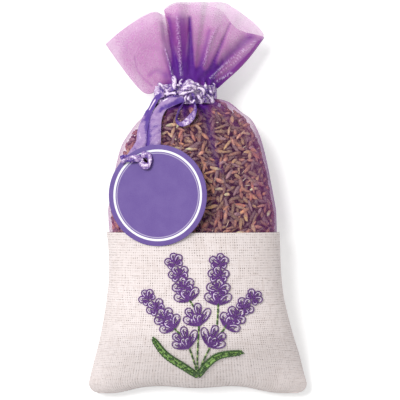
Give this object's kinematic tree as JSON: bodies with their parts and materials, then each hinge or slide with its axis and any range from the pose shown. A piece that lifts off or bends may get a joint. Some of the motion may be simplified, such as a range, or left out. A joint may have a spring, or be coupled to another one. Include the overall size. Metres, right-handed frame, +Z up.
{
  "type": "lavender sachet",
  "caption": "Linen and organza sachet filled with dried lavender, gathered and tied with ribbon at the neck, with an embroidered front and a round swing tag.",
  "frame": {"origin": "on the table under the middle of the sachet's outline, which lies on its back", "axes": "+Y from the bottom seam towards the frill, +Z up from the table through the embroidered front, +X to the right seen from the front"},
  "size_m": [0.0836, 0.15, 0.034],
  "materials": {
    "linen": "natural linen, open plain weave",
    "organza": "sheer purple organza",
    "lavender": "dried lavender buds",
    "satin_ribbon": "lilac satin organza ribbon",
    "tag_card": "matt violet printed card",
    "violet_thread": "shiny embroidery thread",
    "green_thread": "shiny embroidery thread"
  },
  "bodies": {
    "sachet": {"linen_front": "linen", "linen_back": "linen", "organza_front": "organza", "organza_back": "organza", "lavender_filling": "lavender", "neck_ribbon": "satin_ribbon", "ribbon_knot": "satin_ribbon", "ribbon_loop": "satin_ribbon", "flower_head_left_low": "violet_thread", "flower_head_left_high": "violet_thread", "flower_head_right_high": "violet_thread", "flower_head_right_low": "violet_thread", "flower_head_centre": "violet_thread", "flower_head_bottom_left": "violet_thread", "flower_head_bottom_right": "violet_thread", "leaf_left": "green_thread", "leaf_right": "green_thread"},
    "tag_ribbon": {"tag_ribbon_right": "satin_ribbon", "tag_ribbon_left": "satin_ribbon"},
    "tag": {"tag_card": "tag_card", "tag_hitch": "satin_ribbon", "tag_hitch_bight": "satin_ribbon"}
  },
  "joints": [
    {"name": "tag_lift", "type": "hinge", "parent": "sachet", "child": "tag_ribbon", "pos_m": [-0.011, 0.0402, 0.0187], "axis": [-0.8986, 0, -0.4388], "range_deg": [0, 110]},
    {"name": "tag_swing", "type": "hinge", "parent": "tag_ribbon", "child": "tag", "pos_m": [-0.01947, 0.0145, 0.02818], "axis": [-0.2419, 0, 0.9703], "range_deg": [-25, 25]}
  ]
}
